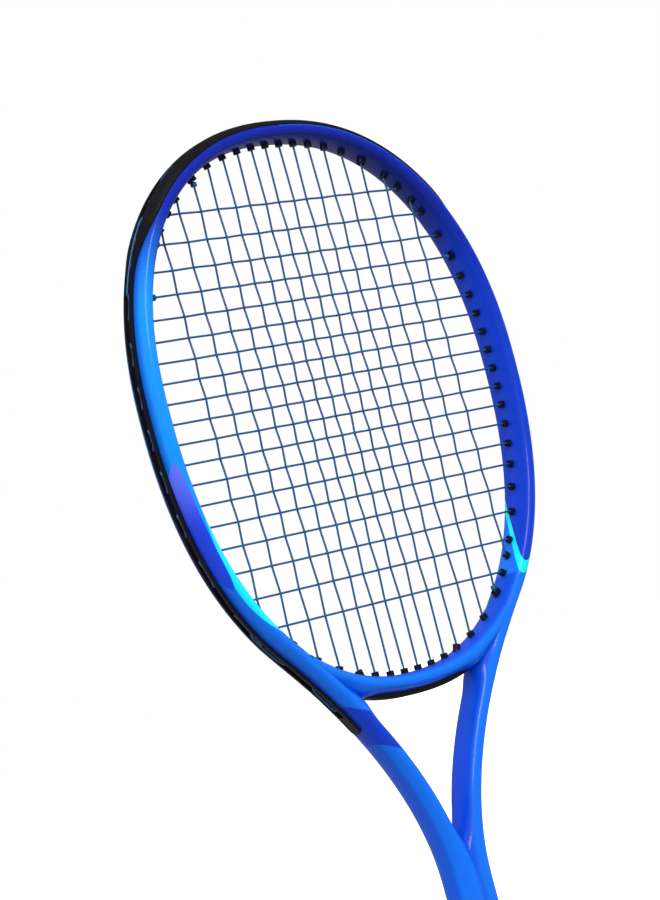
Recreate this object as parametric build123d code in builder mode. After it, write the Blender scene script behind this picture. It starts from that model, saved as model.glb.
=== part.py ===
"""Tennis racket: hollow composite hairpin, bridge, bumper and grommets, two woven strings, wrapped handle.

The racket stands on its butt. +Z runs from the butt to the tip, +X across the head, and the front faces -Y.
The origin is the middle of the butt's end face, and the strings lie about the plane Y = 0. Millimetres.
"""

import math
import os

from build123d import *

# --- Driving dimensions -------------------------------------------------------------------------------------
overall_length = 685.8  # 27 in, from the butt to the outside of the bumper
head_inner_width = 250.0
head_inner_length = 326.0
widest_above_middle = 12.0  # the head is widest a little above its middle
head_squareness = 2.24  # 2 is an ellipse, and more is squarer

# The tube's section is an ellipse: its half width lies in the string plane, and the beam is its depth along Y
head_tube_half_width = 5.4
shaft_tube_half_width = 6.5
beam_tip = 23.8
beam_middle = 26.5
beam_throat = 22.5
tube_wall = 1.9

departure_angle = -51.0  # where the arms leave the head's oval
arm_lead_top = 60.0  # how far the arm keeps the oval's direction
arm_lead_bottom = 60.0  # how far it keeps the shaft's
shaft_spread = 6.9  # from the middle to each leg's centre line
throat_length = 124.0  # from the bridge to where the arms have met
crotch_height = 27.0  # how far the web fills the V above that place
web_depth_share = 0.93  # of the beam at the shaft
crotch_dip = 4.0
bridge_spread = 30.0  # degrees each way from the bottom of the oval
bridge_core_spread = 17.0
bridge_stations = 6
bridge_end_narrowing = 1.6
bridge_inset = 0.25
gusset_start = 37.0  # from the middle, along the bridge
gusset_drop = 179.0  # below the head's middle, on the arm
gusset_half_depth = 9.5
gusset_hollow = 2.0  # how far its edge curves in
bumper_station_count = 7

bumper_thickness = 2.2
bumper_half_depth = 11.2
bumper_end_height = 91.0  # above the head's middle
bumper_taper_height = 40.0
bumper_depth_share = 1.04  # of the tube's own depth

strip_width = 7.6
strip_recess = 0.8  # depth of the frame's groove
strip_height = 1.9  # how far a strip stands above the tube
strip_end_height = -186.0  # above the head's middle
strip_end_radius = 3.0
throat_strip_height = 2.8
throat_strip_end_radius = 1.4
channel_beyond = 0.7  # degrees past the last hole
throat_strip_half_length = 36.5
channel_half_width = 2.15
channel_floor = 0.3  # above the tube's outline
fit_clearance = 0.05

string_diameter = 1.27
string_clearance = 0.1
weave_clearance = 0.2
string_bend_radius = 8.0  # over another string
string_corner_radius = 1.0  # from a barrel into the channel
main_gap_middle = 10.4
main_gap_growth = 0.111
mains_per_side = 8
cross_gap_middle = 11.8
cross_gap_growth_up = 0.0072
cross_gap_growth_down = 0.0092
crosses_each_way = 9
middle_cross_height = 5.5  # above the head's middle

barrel_diameter = 4.6
barrel_bore = 2.2
tie_barrel_diameter = 6.0
tie_barrel_bore = 4.4
peg_length = 2.6  # how far a barrel stands out of the inner wall
hole_lean = 0.25  # 0 is square to the wall, and 1 is along the string
throat_hole_lean = 4.0  # how far the bridge's outermost holes lean in
bridge_mains_per_side = 4
knot_diameter = 3.9
knot_length = 2.8
knot_rounding = 0.8
knot_gap = 0.5
loop_point_spacing = 8.0
sharp_half_turn = 12.0  # degrees

handle_length = 200.0
pallet_width = 30.0
pallet_depth = 26.0
pallet_bevel = 7.4
pallet_top_taper = 1.0
pallet_taper_length = 22.0
pallet_straight_length = 16.0
grip_thickness = 1.75
butt_cap_length = 27.0
butt_cap_wall = 1.6
butt_flare = 3.9
butt_lip = 6.5
butt_edge_radius = 1.5
grip_step_length = 8.0  # over which the grip drops from the cap to the pallet
tape_width = 12.0
tape_thickness = 0.3
collar_width = 15.0
collar_thickness = 1.2
collar_above_grip = 4.0
badge_diameter = 21.0
badge_recess = 0.7

# --- Derived sizes and places -------------------------------------------------------------------------------
head_middle = overall_length - bumper_thickness - 2 * head_tube_half_width - head_inner_length / 2
half_across = head_inner_width / 2 + head_tube_half_width
half_up = head_inner_length / 2 - widest_above_middle + head_tube_half_width
half_down = head_inner_length / 2 + widest_above_middle + head_tube_half_width
widest_level = head_middle + widest_above_middle
shaft_top = widest_level - half_down - throat_length
arm_degrees = 30.0  # the arm continues the oval's parameter by this much
head_stations = 12
arm_stations = 7
band_steps = 24
leg_bottom = butt_cap_wall + fit_clearance
string_radius = string_diameter / 2
weave_height = string_radius + weave_clearance / 2
loop_level = channel_floor + string_clearance + string_radius  # of an outer loop above the tube
channel_lane = string_diameter + 0.13  # mains run this far behind the middle of the channel, crosses before it


def oval(angle):
    """A point of the head's centre line; 90 degrees is the tip and 0 is the right side."""
    c, s = math.cos(math.radians(angle)), math.sin(math.radians(angle))
    power = 2 / head_squareness
    reach = half_up if s > 0 else half_down
    x = half_across * math.copysign(abs(c) ** power, c)
    return x, widest_level + reach * math.copysign(abs(s) ** power, s)


def direction_at(curve, angle):
    """The unit direction of a curve as its angle falls."""
    (x0, z0), (x1, z1) = curve(angle + 0.4), curve(angle - 0.4)
    length = math.hypot(x1 - x0, z1 - z0)
    return (x1 - x0) / length, (z1 - z0) / length


def arm(t):
    """The right arm's centre line, a cubic from the oval to the shaft."""
    start = oval(departure_angle)
    dx, dz = direction_at(oval, departure_angle)
    points = [
        start,
        (start[0] + dx * arm_lead_top, start[1] + dz * arm_lead_top),
        (shaft_spread, shaft_top + arm_lead_bottom),
        (shaft_spread, shaft_top),
    ]
    weights = ((1 - t) ** 3, 3 * t * (1 - t) ** 2, 3 * t * t * (1 - t), t**3)
    return tuple(sum(w * p[i] for w, p in zip(weights, points)) for i in range(2))


def hairpin(angle):
    """The right half of the hairpin's centre line: the oval, then the arm."""
    if angle >= departure_angle:
        return oval(angle)
    return arm((departure_angle - angle) / arm_degrees)


def beside(curve, angle, distance):
    """The point at a distance outside a curve."""
    x, z = curve(angle)
    dx, dz = direction_at(curve, angle)
    return x - dz * distance, z + dx * distance


def root_between(function, low, high):
    """Where a function changes sign."""
    rising = function(high) > function(low)
    for _ in range(45):
        middle = (low + high) / 2
        if (function(middle) > 0) == rising:
            high = middle
        else:
            low = middle
    return (low + high) / 2


def ease(share):
    """0 to 1 with level ends."""
    share = min(1.0, max(0.0, share))
    return share * share * (3 - 2 * share)


def half_beam(z):
    """Half the tube's depth at a height."""
    if z > widest_level:
        return (beam_middle + (beam_tip - beam_middle) * ease((z - widest_level) / half_up)) / 2
    return (beam_middle + (beam_throat - beam_middle) * ease((widest_level - z) / (widest_level - shaft_top))) / 2


def half_width(z):
    """Half the tube's width at a height: it grows from the head to the shaft."""
    start = oval(departure_angle)[1]
    share = ease((start - z) / (start - shaft_top))
    return head_tube_half_width + (shaft_tube_half_width - head_tube_half_width) * share


def plane_across(point, direction):
    """A plane across a centre line, with its X in the string plane and its Y along the beam."""
    dx, dz = direction
    return Plane(origin=(point[0], 0, point[1]), x_dir=(dz, 0, -dx), z_dir=(dx, 0, dz))


def loft_ellipses(stations):
    """A solid through ellipses, each given as a plane and its two half axes."""
    with BuildPart() as body:
        for plane, across, deep in stations:
            with BuildSketch(plane):
                Ellipse(across, deep)
        loft()
    return body.part


def hairpin_half(growth):
    """The hairpin's right half as one solid, with its section larger all round by growth."""
    stations = [(oval(90), (1.0, 0.0))]
    for i in range(1, head_stations + 1):
        angle = 90 + (departure_angle - 90) * i / head_stations
        stations.append((oval(angle), direction_at(oval, angle)))
    for i in range(1, arm_stations):
        angle = departure_angle - arm_degrees * i / arm_stations
        stations.append((hairpin(angle), direction_at(hairpin, angle)))
    stations.append(((shaft_spread, shaft_top), (0.0, -1.0)))
    curved = loft_ellipses(
        [
            (plane_across(point, direction), half_width(point[1]) + growth, half_beam(point[1]) + growth)
            for point, direction in stations
        ]
    )
    with BuildPart() as leg:
        with BuildSketch(Plane.XY.offset(leg_bottom)):
            with Locations((shaft_spread, 0)):
                Ellipse(shaft_tube_half_width + growth, beam_throat / 2 + growth)
        extrude(amount=shaft_top - leg_bottom)
    return curved + leg.part


def both(half):
    """A right half and its mirror image."""
    return [half, mirror(half, about=Plane.YZ)]


def both_lists(halves):
    """Some right-hand solids, and then their mirror images."""
    return [halves, [mirror(half, about=Plane.YZ) for half in halves]]


def band(curve, start, end, inner, outer, half_depth):
    """A strip beside a curve, between two heights above the tube's outline, extruded about the string plane."""
    angles = [start + (end - start) * i / band_steps for i in range(band_steps + 1)]
    inside = [above_tube(curve, angle, inner) for angle in angles]
    outside = [above_tube(curve, angle, outer) for angle in angles]
    with BuildPart() as strip:
        with BuildSketch(Plane.XZ):
            with BuildLine():
                Spline(*inside)
                Line(inside[-1], outside[-1])
                Spline(*reversed(outside))
                Line(outside[0], inside[0])
            make_face()
        extrude(amount=half_depth, both=True)
    return strip.part


def above_tube(curve, angle, height):
    """The point at a height above the tube's outline, on its outer side."""
    width = half_width(curve(angle)[1]) if curve is hairpin else head_tube_half_width
    return beside(curve, angle, width + height)


# --- Holes and string places --------------------------------------------------------------------------------
main_places = [main_gap_middle / 2]
for step in range(1, mains_per_side):
    main_places.append(main_places[-1] + main_gap_middle + main_gap_growth * step**2)

upward = [middle_cross_height]
downward = [middle_cross_height]
for step in range(1, crosses_each_way + 1):
    upward.append(upward[-1] + cross_gap_middle + cross_gap_growth_up * step**3)
    downward.append(downward[-1] - cross_gap_middle - cross_gap_growth_down * step**3)
cross_places = [head_middle + place for place in upward[:0:-1] + downward]

tip_inset = -(head_tube_half_width + peg_length)
exit_search = 26  # degrees each way from a hole's inner end
oval_end = -96


class GrommetHole:
    """One hole on the racket's right side: the barrel's tip, its direction outwards and where the string turns."""

    def __init__(self, run, at, low, high, outer_curve=hairpin, lean_in=None):
        axis = 0 if run[0] == 0 else 1
        angle = root_between(lambda a: beside(oval, a, tip_inset)[axis] - at, low, high)
        self.tip = beside(oval, angle, tip_inset)
        tangent = direction_at(oval, angle)
        out = [-tangent[1] + hole_lean * run[0], tangent[0] + hole_lean * run[1]]
        if lean_in is not None:
            out = [-lean_in, -(peg_length + 2 * head_tube_half_width)]
        length = math.hypot(*out)
        self.out = (out[0] / length, out[1] / length)
        self.curve = outer_curve
        lowest = oval_end if outer_curve is oval else departure_angle - arm_degrees + 0.5
        nearby = (max(angle - exit_search, lowest), min(angle + exit_search, -oval_end))
        self.exit_angle = root_between(self.side_of_axis, *nearby)
        self.exit = self.outer_point(self.exit_angle)

    def outer_point(self, angle):
        return above_tube(self.curve, angle, loop_level)

    def side_of_axis(self, angle):
        x, z = self.outer_point(angle)
        return (x - self.tip[0]) * self.out[1] - (z - self.tip[1]) * self.out[0]


head_holes = [GrommetHole((0, 1), x, 5, 95) for x in main_places]
cross_holes = [
    GrommetHole((1, 0), z, 0.5, 80) if z > widest_level else GrommetHole((1, 0), z, -80, -0.2)
    for z in cross_places
]
throat_holes = []
for number, x in enumerate(main_places):
    in_bridge = number < bridge_mains_per_side
    lean = throat_hole_lean if number == bridge_mains_per_side - 1 else 0
    if in_bridge:
        throat_holes.append(GrommetHole((0, -1), x, -95, -5, oval, lean))
    else:
        throat_holes.append(GrommetHole((0, -1), x, -95, -5))

main_tie = cross_holes[3]  # it takes a main string's end as well
cross_start_tie = head_holes[5]
cross_end_tie = throat_holes[6]
tie_holes = (main_tie, cross_start_tie, cross_end_tie)


def reach(hole):
    """The distance from a barrel's tip to the turn of its string."""
    return math.dist(hole.exit, hole.tip)


def rod(hole, diameter, start, end):
    """A round rod along a hole, from start to end as distances from the barrel's tip."""
    ox, oz = hole.out
    with BuildPart() as stick:
        with BuildSketch(Plane(origin=(hole.tip[0] + ox * start, 0, hole.tip[1] + oz * start), z_dir=(ox, 0, oz))):
            Circle(diameter / 2)
        extrude(amount=end - start)
    return stick.part


def outer_diameter(hole):
    return tie_barrel_diameter if hole in tie_holes else barrel_diameter


def barrels(holes):
    """The barrels of some holes, each from its tip to the floor of the string channel."""
    return [rod(hole, outer_diameter(hole), 0, reach(hole) - string_radius - string_clearance) for hole in holes]


def bores(holes):
    """The bores of some holes, from inside the head to above the string channel."""
    rods = []
    for hole in holes:
        diameter = tie_barrel_bore if hole in tie_holes else barrel_bore
        rods.append(rod(hole, diameter, -1, reach(hole) + strip_height + 2))
    return rods


def drillings(holes):
    """The frame's holes, each a clearance larger than its barrel."""
    return [
        rod(hole, outer_diameter(hole) + 2 * fit_clearance, peg_length / 2, reach(hole) + strip_height + 2)
        for hole in holes
    ]


every_hole = head_holes + cross_holes + throat_holes
bumper_end = head_middle + bumper_end_height
bumper_holes = [hole for hole in every_hole if hole.exit[1] > bumper_end]
bridge_strip_holes = [hole for hole in throat_holes if hole.curve is oval]
side_strip_holes = [hole for hole in every_hole if hole not in bumper_holes + bridge_strip_holes]

# --- Frame: hairpin tube, bridge and web --------------------------------------------------------------------
tube = hairpin_half(0)
grown_tube = hairpin_half(fit_clearance)

bumper_end_angle = root_between(lambda a: hairpin(a)[1] - bumper_end, 5, 80)
strip_end_angle = root_between(lambda a: hairpin(a)[1] - head_middle - strip_end_height, -80, -45)
strip_gap = 0.06  # degrees left at each end of a strip
half_groove = strip_width / 2 + fit_clearance
groove = band(hairpin, bumper_end_angle, strip_end_angle, -strip_recess, strip_height + 2, half_groove)

with BuildPart() as frame_tube:
    add(tube)
    add(hairpin_half(-tube_wall), mode=Mode.SUBTRACT)
    add(groove, mode=Mode.SUBTRACT)
    add(drillings(every_hole), mode=Mode.SUBTRACT)
    mirror(about=Plane.YZ)
frame_tube.part.label = "frame_tube"

throat_strip_angle = root_between(lambda a: oval(a)[0] - throat_strip_half_length, -89, -40)
throat_groove = band(
    oval, throat_strip_angle, -180 - throat_strip_angle, -strip_recess, throat_strip_height + 3, half_groove
)


def bridge_solid(inset, spread):
    """The bridge's ellipses along the bottom of the oval, which narrow at both ends to sink into the arms."""
    stations = []
    for i in range(-bridge_stations, bridge_stations + 1):
        angle = -90 + spread * i / bridge_stations
        narrowing = bridge_end_narrowing if abs(i) == bridge_stations else 0
        stations.append(
            (
                plane_across(oval(angle), direction_at(oval, angle)),
                head_tube_half_width - inset - narrowing,
                half_beam(oval(angle)[1]) - inset - narrowing,
            )
        )
    return loft_ellipses(stations)


gusset_bridge_angle = root_between(lambda a: oval(a)[0] - gusset_start, -89, -40)
gusset_arm_angle = root_between(lambda a: hairpin(a)[1] - head_middle + gusset_drop, -80, -52)
gusset_bridge_end = beside(oval, gusset_bridge_angle, head_tube_half_width - bridge_inset)
gusset_arm_end = beside(hairpin, gusset_arm_angle, -half_width(hairpin(gusset_arm_angle)[1]))
gusset_middle = (
    (gusset_bridge_end[0] + gusset_arm_end[0]) / 2 + gusset_hollow,
    (gusset_bridge_end[1] + gusset_arm_end[1]) / 2 + gusset_hollow,
)
with BuildPart() as throat_bridge:
    add(bridge_solid(bridge_inset, bridge_spread))
    add(bridge_solid(bridge_inset + tube_wall, bridge_core_spread), mode=Mode.SUBTRACT)
    with BuildSketch(Plane.XZ):
        with BuildLine():
            ThreePointArc(gusset_bridge_end, gusset_middle, gusset_arm_end)
            Polyline(
                gusset_arm_end,
                hairpin(gusset_arm_angle),
                oval(-90 + bridge_spread),
                oval(gusset_bridge_angle),
                gusset_bridge_end,
            )
        make_face()
        mirror(about=Plane.YZ)
    extrude(amount=gusset_half_depth, both=True)
    add(both(grown_tube), mode=Mode.SUBTRACT)
    add(throat_groove, mode=Mode.SUBTRACT)
    for holes in both_lists(drillings(throat_holes)):
        add(holes, mode=Mode.SUBTRACT)
throat_bridge.part.label = "throat_bridge"

crotch_angle = root_between(lambda a: hairpin(a)[1] - shaft_top - crotch_height, -80.5, -60)
crotch = hairpin(crotch_angle)
leg_line = [hairpin(crotch_angle - (crotch_angle - departure_angle + arm_degrees) * i / 6) for i in range(6)]
leg_line.append((shaft_spread, shaft_top))
web_depth = beam_throat * web_depth_share
with BuildPart() as shaft_web:
    with BuildSketch(Plane.XZ):
        with BuildLine():
            Spline(*leg_line)
            Line((shaft_spread, shaft_top), (shaft_spread, handle_length))
            Line((shaft_spread, handle_length), (0, handle_length))
            mirror(about=Plane.YZ)
            ThreePointArc(crotch, (0, crotch[1] - crotch_dip), (-crotch[0], crotch[1]))
        make_face()
    extrude(amount=web_depth / 2, both=True)
    add(both(grown_tube), mode=Mode.SUBTRACT)
shaft_web.part.label = "shaft_web"

# --- Bumper guard and grommet strips ------------------------------------------------------------------------
bumper_low_angle = bumper_end_angle - 8
bumper_stations = []
for i in range(bumper_station_count + 1):
    angle = 90 + (bumper_low_angle - 90) * i / bumper_station_count
    x, z = oval(angle)
    direction = (1.0, 0.0) if i == 0 else direction_at(oval, angle)
    bumper_stations.append(
        (
            plane_across((x, z), direction),
            half_width(z) + bumper_thickness,
            half_beam(z) * bumper_depth_share,
        )
    )

bumper_full_height = bumper_end + bumper_taper_height
with BuildPart() as bumper_side_view:
    with BuildSketch(Plane.YZ.offset(-1)):
        with BuildLine():
            low_corner, wide_corner = (strip_width / 2, bumper_end), (bumper_half_depth, bumper_full_height)
            Line((0, bumper_end), low_corner)
            Spline(low_corner, wide_corner, tangents=((0, 1), (0, 1)))
            Polyline(wide_corner, (bumper_half_depth, overall_length + 1), (0, overall_length + 1))
            mirror(about=Plane.YZ)
        make_face()
    extrude(amount=head_inner_width)

inside_line = [oval(90 + (bumper_low_angle - 5 - 90) * i / band_steps) for i in range(band_steps + 1)]
with BuildPart() as head_inside:
    with BuildSketch(Plane.XZ):
        with BuildLine():
            Spline(*inside_line)
            Polyline(inside_line[-1], (-1, inside_line[-1][1]), (-1, inside_line[0][1]), inside_line[0])
        make_face()
    extrude(amount=beam_middle, both=True)


def channel(curve, start, end, top):
    """The string channel in an outer face."""
    return band(curve, start, end, channel_floor, top, channel_half_width)


with BuildPart() as bumper_guard:
    add(loft_ellipses(bumper_stations))
    add(bumper_side_view.part, mode=Mode.INTERSECT)
    add(head_inside.part, mode=Mode.SUBTRACT)
    add(grown_tube, mode=Mode.SUBTRACT)
    add(barrels(bumper_holes))
    add(channel(oval, 90.5, bumper_low_angle, bumper_thickness + 2), mode=Mode.SUBTRACT)
    add(bores(bumper_holes), mode=Mode.SUBTRACT)
    mirror(about=Plane.YZ)
bumper_guard.part.label = "bumper_guard"

last_exit_angle = min(hole.exit_angle for hole in side_strip_holes)
with BuildPart() as grommet_strip_right:
    add(
        band(
            hairpin,
            bumper_end_angle - strip_gap,
            strip_end_angle + strip_gap,
            fit_clearance - strip_recess,
            strip_height,
            strip_width / 2,
        )
    )
    corners = grommet_strip_right.edges().filter_by(GeomType.LINE).filter_by(Axis.Y, reverse=True)
    fillet(corners.group_by(Axis.Z)[0], strip_end_radius)
    add(barrels(side_strip_holes))
    add(channel(hairpin, 50, last_exit_angle - channel_beyond, strip_height + 2), mode=Mode.SUBTRACT)
    add(bores(side_strip_holes), mode=Mode.SUBTRACT)
grommet_strip_right.part.label = "grommet_strip_right"

with BuildPart() as grommet_strip_left:
    add(mirror(grommet_strip_right.part, about=Plane.YZ))
grommet_strip_left.part.label = "grommet_strip_left"

bridge_exit_angle = max(hole.exit_angle for hole in bridge_strip_holes)
channel_end_angle = bridge_exit_angle + channel_beyond
with BuildPart() as grommet_strip_throat:
    add(
        band(
            oval,
            throat_strip_angle - strip_gap,
            -180 - throat_strip_angle + strip_gap,
            fit_clearance - strip_recess,
            throat_strip_height,
            strip_width / 2,
        )
    )
    corners = grommet_strip_throat.edges().filter_by(GeomType.LINE).filter_by(Axis.Y, reverse=True)
    fillet(corners, throat_strip_end_radius)
    for rods in both_lists(barrels(bridge_strip_holes)):
        add(rods)
    add(channel(oval, channel_end_angle, -180 - channel_end_angle, throat_strip_height + 2), mode=Mode.SUBTRACT)
    for rods in both_lists(bores(bridge_strip_holes)):
        add(rods, mode=Mode.SUBTRACT)
grommet_strip_throat.part.label = "grommet_strip_throat"

# --- Strings ------------------------------------------------------------------------------------------------


def crosses_over(number, row):
    """Whether a main and a cross meet in the bed."""
    main_spans = throat_holes[number].tip[1] < cross_places[row] < head_holes[number].tip[1]
    return main_spans and main_places[number] < cross_holes[row].tip[0]


def main_above(column, row):
    """The main's height along Y at a crossing: the strings go over and under by turns."""
    return weave_height if (column + row) % 2 else -weave_height


def loop_points(curve, start, end, side, lane):
    """An outer loop's points in the channel between two holes, without the holes themselves."""
    (x0, z0), (x1, z1) = above_tube(curve, start, loop_level), above_tube(curve, end, loop_level)
    count = max(2, round(math.hypot(x1 - x0, z1 - z0) / loop_point_spacing))
    points = []
    for i in range(count):
        x, z = above_tube(curve, start + (end - start) * (i + 0.5) / count, loop_level)
        points.append((side * x, lane, z))
    return points


def at_exit(hole, side, lane=0.0):
    return (side * hole.exit[0], lane, hole.exit[1])


def at_tip(hole, side, lane=0.0):
    return (side * hole.tip[0], lane, hole.tip[1])


def tied_end(own, tie, side, lane):
    """From a string's last hole along the channel and in through the hole that it shares."""
    run = loop_points(own.curve, own.exit_angle, tie.exit_angle, side, lane)
    return run + [at_exit(tie, side, lane), at_tip(tie, side, lane)]


def main_column(number, side):
    """One main from its head hole down to its throat hole."""
    column = mains_per_side + number if side > 0 else mains_per_side - 1 - number
    x = side * main_places[number]
    points = [at_exit(head_holes[number], side), at_tip(head_holes[number], side)]
    for row, z in enumerate(cross_places):
        if crosses_over(number, row):
            points.append((x, main_above(column, row), z))
    return points + [at_tip(throat_holes[number], side), at_exit(throat_holes[number], side)]


def main_route():
    """The main string from the left tie, through every main and loop, to the right tie."""
    outermost = mains_per_side - 1
    points = list(reversed(tied_end(head_holes[outermost], main_tie, -1, channel_lane)))
    columns = [(n, -1) for n in reversed(range(mains_per_side))] + [(n, 1) for n in range(mains_per_side)]
    for place, (number, side) in enumerate(columns):
        goes_down = place % 2 == 0
        column = main_column(number, side)
        points += column if goes_down else list(reversed(column))
        if place == len(columns) - 1:
            break
        following, following_side = columns[place + 1]
        holes = throat_holes if goes_down else head_holes
        if following == number:
            points += centre_loop(holes[number])
        else:
            own, after = holes[number], holes[following]
            points += loop_points(own.curve, own.exit_angle, after.exit_angle, side, channel_lane)
    return points + tied_end(head_holes[outermost], main_tie, 1, channel_lane)


def centre_loop(hole):
    """The short loop across the middle, between the two innermost mains."""
    x, z = hole.exit
    return [(-x * 0.5, channel_lane, z), (x * 0.5, channel_lane, z)]


def cross_route():
    """The cross string from its left start at the top to its right end at the bottom."""
    last = len(cross_places) - 1
    points = list(reversed(tied_end(cross_holes[0], cross_start_tie, -1, -channel_lane)))
    columns = list(range(2 * mains_per_side))
    for row, z in enumerate(cross_places):
        side = -1 if row % 2 == 0 else 1
        bed = []
        for column in columns if side < 0 else reversed(columns):
            number = mains_per_side - 1 - column if column < mains_per_side else column - mains_per_side
            if crosses_over(number, row):
                x = main_places[number] * (-1 if column < mains_per_side else 1)
                bed.append((x, -main_above(column, row), z))
        hole = cross_holes[row]
        points += [at_exit(hole, side), at_tip(hole, side)] + bed + [at_tip(hole, -side), at_exit(hole, -side)]
        if row < last:
            below = cross_holes[row + 1]
            points += loop_points(hole.curve, hole.exit_angle, below.exit_angle, -side, -channel_lane)
    return points + tied_end(cross_holes[last], cross_end_tie, 1, -channel_lane)


def string_solid(points):
    """A round string along straight runs joined by tangent arcs."""
    radii = []
    for before, corner, after in zip(points, points[1:], points[2:]):
        first, second = Vector(*corner) - Vector(*before), Vector(*after) - Vector(*corner)
        half_turn = math.radians(first.get_angle(second)) / 2
        room = 0.45 * min(first.length, second.length) / math.tan(half_turn)
        sharp = math.degrees(half_turn) > sharp_half_turn
        radii.append(min(room, string_corner_radius if sharp else string_bend_radius))
    with BuildPart() as string:
        with BuildLine() as route:
            FilletPolyline(*points, radius=radii)
        path = route.wires()[0]
        with BuildSketch(Plane(origin=path @ 0, z_dir=path % 0)):
            Circle(string_radius)
        sweep(path=path)
    return string.part, path.length


main_points = main_route()
cross_points = cross_route()

with BuildPart() as main_string:
    main_solid, main_length = string_solid(main_points)
    add(main_solid)
main_string.part.label = "main_string"

with BuildPart() as cross_string:
    cross_solid, cross_length = string_solid(cross_points)
    add(cross_solid)
cross_string.part.label = "cross_string"
print(f"main string {main_length:.0f} mm, cross string {cross_length:.0f} mm")


def knot(hole, side, along):
    """A tied end's knot: a bead round the string that passes through it, against the barrel."""
    start = Vector(*at_tip(hole, side))
    direction = (Vector(*along) - start).normalized()
    with BuildPart() as bead:
        with BuildSketch(Plane(origin=start + direction * knot_gap, z_dir=direction)):
            Circle(knot_diameter / 2)
        extrude(amount=knot_length)
        fillet(bead.edges(), knot_rounding)
        with BuildSketch(Plane(origin=start, z_dir=direction)):
            Circle(string_radius + fit_clearance)
        extrude(amount=knot_length * 2, mode=Mode.SUBTRACT)
    return bead.part


def next_in_bed(points, hole, side):
    """The bed point next to a hole's tip on a string's route."""
    place = points.index(at_tip(hole, side))
    neighbours = (points[place - 1], points[place + 1])
    return min(neighbours, key=lambda point: math.hypot(point[0], point[2] - head_middle))


with BuildPart() as tie_off_knots:
    for side in (-1, 1):
        add(knot(main_tie, side, next_in_bed(cross_points, main_tie, side)))
    add(knot(cross_start_tie, -1, next_in_bed(main_points, cross_start_tie, -1)))
    add(knot(cross_end_tie, 1, next_in_bed(main_points, cross_end_tie, 1)))
tie_off_knots.part.label = "tie_off_knots"

# --- Handle -------------------------------------------------------------------------------------------------


def octagon_loft(stations):
    """Flat-sided stretches between octagons, each given as a height and a growth."""
    with BuildPart() as body:
        for z, growth in stations:
            with BuildSketch(Plane.XY.offset(z)) as outline:
                Rectangle(pallet_width + 2 * growth, pallet_depth + 2 * growth)
                chamfer(outline.vertices(), pallet_bevel + growth * (2 - math.sqrt(2)))
        loft(ruled=True)
    return body.part


pallet_top = [
    (handle_length - pallet_taper_length - pallet_straight_length, 0),
    (handle_length - pallet_straight_length, -pallet_top_taper),
    (handle_length, -pallet_top_taper),
]
pallet_stations = [(butt_cap_wall + fit_clearance, 0)] + pallet_top
cap_stations = [(0, butt_cap_wall + butt_flare), (butt_lip, butt_cap_wall + butt_flare)]
cap_stations.append((butt_cap_length, butt_cap_wall))
grip_start = butt_lip + fit_clearance
grip_stations = [
    (grip_start, butt_cap_wall + butt_flare + 0.4),
    (butt_cap_length, butt_cap_wall + grip_thickness),
    (butt_cap_length + grip_step_length, grip_thickness),
] + [(z, growth + grip_thickness) for z, growth in pallet_top]

whole_pallet = octagon_loft(pallet_stations)
with BuildPart() as pallet_front:
    add(whole_pallet)
    add(both(grown_tube), mode=Mode.SUBTRACT)
    split(bisect_by=Plane.XZ.offset(fit_clearance / 2), keep=Keep.TOP)
pallet_front.part.label = "pallet_front"

with BuildPart() as pallet_back:
    add(mirror(pallet_front.part, about=Plane.XZ))
pallet_back.part.label = "pallet_back"

cap_outside = octagon_loft(cap_stations)
cap_cavity = octagon_loft([(butt_cap_wall, fit_clearance), (butt_cap_length + 1, fit_clearance)])

with BuildPart() as butt_cap:
    add(cap_outside)
    fillet(butt_cap.faces().sort_by(Axis.Z)[0].edges(), butt_edge_radius)
    add(cap_cavity, mode=Mode.SUBTRACT)
    with BuildSketch(Plane.XY):
        Circle(badge_diameter / 2 + fit_clearance)
    extrude(amount=badge_recess, mode=Mode.SUBTRACT)
butt_cap.part.label = "butt_cap"

with BuildPart() as butt_badge:
    with BuildSketch(Plane.XY.offset(fit_clearance)):
        Circle(badge_diameter / 2)
    extrude(amount=badge_recess - fit_clearance)
butt_badge.part.label = "butt_badge"

with BuildPart() as base_grip:
    add(octagon_loft(grip_stations))
    add(cap_outside, mode=Mode.SUBTRACT)
    add(octagon_loft([(butt_cap_length, fit_clearance)] + [(z, g + fit_clearance) for z, g in pallet_top]),
        mode=Mode.SUBTRACT)
base_grip.part.label = "base_grip"

tape_growth = grip_thickness - pallet_top_taper
tape_bottom = handle_length - tape_width
with BuildPart() as finishing_tape:
    add(octagon_loft([(tape_bottom, tape_growth + fit_clearance + tape_thickness),
                      (handle_length, tape_growth + fit_clearance + tape_thickness)]))
    add(octagon_loft([(tape_bottom, tape_growth + fit_clearance), (handle_length, tape_growth + fit_clearance)]),
        mode=Mode.SUBTRACT)
finishing_tape.part.label = "finishing_tape"

collar_inner = tape_growth + tape_thickness + 2 * fit_clearance
collar_bottom = handle_length + collar_above_grip - collar_width
with BuildPart() as grip_collar:
    add(octagon_loft([(collar_bottom, collar_inner + collar_thickness),
                      (handle_length + fit_clearance, collar_inner + collar_thickness),
                      (handle_length + collar_above_grip, collar_inner)]))
    add(octagon_loft([(collar_bottom, collar_inner), (handle_length + fit_clearance, collar_inner)]),
        mode=Mode.SUBTRACT)
    add(both(grown_tube), mode=Mode.SUBTRACT)
    with BuildSketch(Plane.XY.offset(collar_bottom)):
        Rectangle(2 * shaft_spread, web_depth + 2 * fit_clearance)
    extrude(amount=collar_width, mode=Mode.SUBTRACT)
grip_collar.part.label = "grip_collar"

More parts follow.
